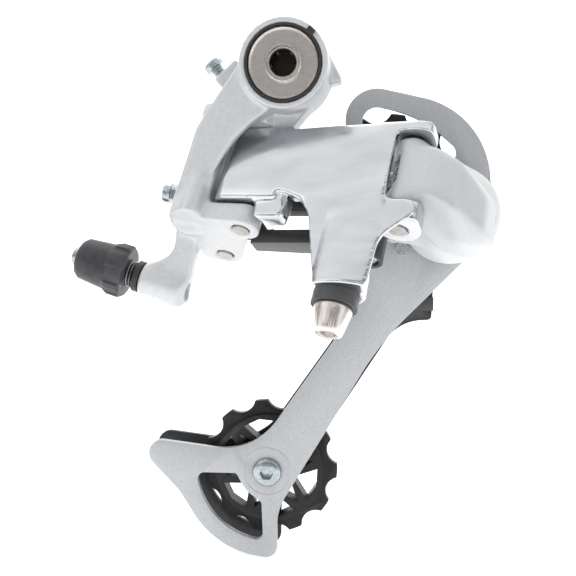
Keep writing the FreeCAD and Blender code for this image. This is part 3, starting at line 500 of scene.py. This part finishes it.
def machined(node_name, width):
    """A CAD node with its flat faces made whole and its corners rounded by width, in millimetres."""
    shape = bmesh.new()
    shape.from_mesh(NODES[node_name].data)
    bmesh.ops.remove_doubles(shape, verts=shape.verts, dist=0.000002)
    bmesh.ops.dissolve_limit(shape, angle_limit=math.radians(0.5), verts=shape.verts, edges=shape.edges)
    corners = []
    for edge in shape.edges:
        if edge.is_manifold and edge.calc_face_angle(0) > CORNER_ANGLE:
            corners.append(edge)
    bmesh.ops.bevel(shape, geom=corners, offset=width * MM, segments=CORNER_SEGMENTS, profile=0.5,
                    affect="EDGES", clamp_overlap=True)
    mesh = bpy.data.meshes.new(f"{node_name}_machined")
    shape.to_mesh(mesh)
    shape.free()
    mesh.shade_smooth()
    mesh.set_sharp_from_angle(angle=SMOOTH_ANGLE)
    return piece_from(node_name, mesh, "machined")


def crowned(point):
    """The outer link's face falls away towards its upper and lower edges and down the cable arm."""
    x, y, z = (LINK_FRAME.inverted() @ point) / MM
    if y > LINK_BACK:
        return point
    across_web = min(1.0, abs(z - 15.0) / 14.0)
    across_arm = min(1.0, abs(x - 36.5) / 8.0)
    blend = ramp(z, 8, -4)
    fall = across_web ** 2 * (1 - blend) + across_arm ** 2 * blend
    y = LINK_BACK + (y - LINK_BACK) * (1 - LINK_CROWN * fall)
    return LINK_FRAME @ (Vector((x, y, z)) * MM)


def carry_over():
    """Nodes whose CAD shape is right keep it and get a finished surface."""
    for node in NODES.values():
        if node.hide_render:
            continue
        for material_slot in node.material_slots:
            material_slot.material = MATERIALS[material_slot.material.name.split(".")[0]]
        node.data.set_sharp_from_angle(angle=SMOOTH_ANGLE)


# ---------------------------------------------------------------- stage, light and camera
def make_stage():
    """A pale floor that curves up into a backdrop."""
    floor = cad_box[0].z - 0.0005
    radius, reach, width, height = 0.35, 0.6, 3.0, 1.6
    profile = [(-1.2, floor), (reach, floor)]
    for step in range(1, 13):
        angle = math.radians(90 * step / 12)
        profile.append((reach + radius * math.sin(angle), floor + radius * (1 - math.cos(angle))))
    profile.append((reach + radius, floor + height))
    mesh = bpy.data.meshes.new("studio_sweep")
    vertices = [(side * width, depth, up) for depth, up in profile for side in (-1, 1)]
    faces = [(2 * k, 2 * k + 1, 2 * k + 3, 2 * k + 2) for k in range(len(profile) - 1)]
    mesh.from_pydata(vertices, [], faces)
    mesh.shade_smooth()
    sweep = linked("studio_sweep", mesh)
    paper = finish("pale_paper", (0.90, 0.90, 0.90), (0.93, 0.93, 0.93), 0.0, (0.7, 0.8), None, 8.0)
    shader = paper.node_tree.nodes["Principled BSDF"]
    shader.inputs["Emission Color"].default_value = (1, 1, 1, 1)
    shader.inputs["Emission Strength"].default_value = 0.55
    mesh.materials.append(paper)


def area_light(name, place, target, size, power):
    """A soft rectangular light aimed at a point."""
    data = bpy.data.lights.new(name, "AREA")
    data.shape = "RECTANGLE"
    data.size, data.size_y = size
    data.energy = power
    light = linked(name, data)
    light.location = place
    light.rotation_euler = (target - Vector(place)).to_track_quat("-Z", "Y").to_euler()


def make_flag(name, place, target, size):
    """A black card that only reflections see."""
    mesh = bpy.data.meshes.new(name)
    wide, tall = size[0] / 2, size[1] / 2
    corners = [(-wide, -tall, 0), (wide, -tall, 0), (wide, tall, 0), (-wide, tall, 0)]
    mesh.from_pydata(corners, [], [(0, 1, 2, 3)])
    mesh.materials.append(finish(name, (0.01, 0.01, 0.012), (0.02, 0.02, 0.024), 0.0, (0.8, 0.9), None, 20.0))
    card = linked(name, mesh)
    card.location = place
    card.rotation_euler = (target - Vector(place)).to_track_quat("-Z", "Y").to_euler()
    card.visible_camera = False
    card.visible_shadow = False
    card.visible_diffuse = False


def make_light():
    """Pale surroundings, soft lights overhead and at the sides, and dark cards for reflections."""
    world = bpy.data.worlds.new("studio")
    world.use_nodes = True
    background = world.node_tree.nodes["Background"]
    background.inputs["Color"].default_value = (0.95, 0.97, 1.0, 1)
    background.inputs["Strength"].default_value = 0.36
    bpy.context.scene.world = world
    middle = (cad_box[0] + cad_box[1]) / 2
    area_light("overhead", (-0.15, -0.25, 0.6), middle, (1.3, 1.0), 3.0)
    area_light("left_fill", (-0.6, -0.5, 0.05), middle, (0.7, 0.9), 1.2)
    area_light("right_edge", (0.55, -0.25, 0.15), middle, (0.35, 0.8), 0.65)
    area_light("backdrop_wash", (0.0, 0.3, 0.7), Vector((0, 0.8, 0.1)), (1.6, 0.5), 6.0)
    make_flag("dark_card_low", (0.05, -0.5, -0.36), middle, (0.5, 0.16))
    make_flag("dark_card_side", (-0.34, -0.42, -0.05), middle, (0.07, 0.5))
    make_flag("dark_card_high", (0.02, -0.36, 0.30), middle, (0.5, 0.07))


def make_camera():
    """The photograph's viewing angle."""
    data = bpy.data.cameras.new("camera")
    data.lens = CAMERA_LENS
    data.clip_start = 0.01
    camera = linked("camera", data)
    camera.location = CAMERA_PLACE
    camera.rotation_euler = (CAMERA_TARGET - CAMERA_PLACE).to_track_quat("-Z", "Y").to_euler()
    bpy.context.scene.camera = camera


MATERIALS = make_materials()
casting("b_knuckle", 0.40 * MM, 14, below_ring, 60)
casting("outer_link", 0.34 * MM, 14, spring_lug_side, 220, crowned)
casting("p_knuckle", 0.42 * MM, 14, outboard_of_cage, 160, extra=[bell_lining()])
machine_screw("b_tension_screw", "b_screw_travel")
machine_screw("limit_screw_high", "high_screw_travel")
machine_screw("limit_screw_low", "low_screw_travel")
boss_ring()
for name, width in (("outer_cage_plate", 0.45), ("inner_cage_plate", 0.35), ("guide_pulley", 0.18),
                    ("tension_pulley", 0.18), ("adjuster_knob", 0.3), ("anchor_bolt", 0.2),
                    ("guide_pulley_bolt", 0.2), ("tension_pulley_bolt", 0.2),
                    ("inner_link", 0.3), ("b_stop_plate", 0.2)):
    machined(name, width)
carry_over()
make_stage()
make_light()
make_camera()
bpy.context.scene.view_settings.view_transform = "Standard"
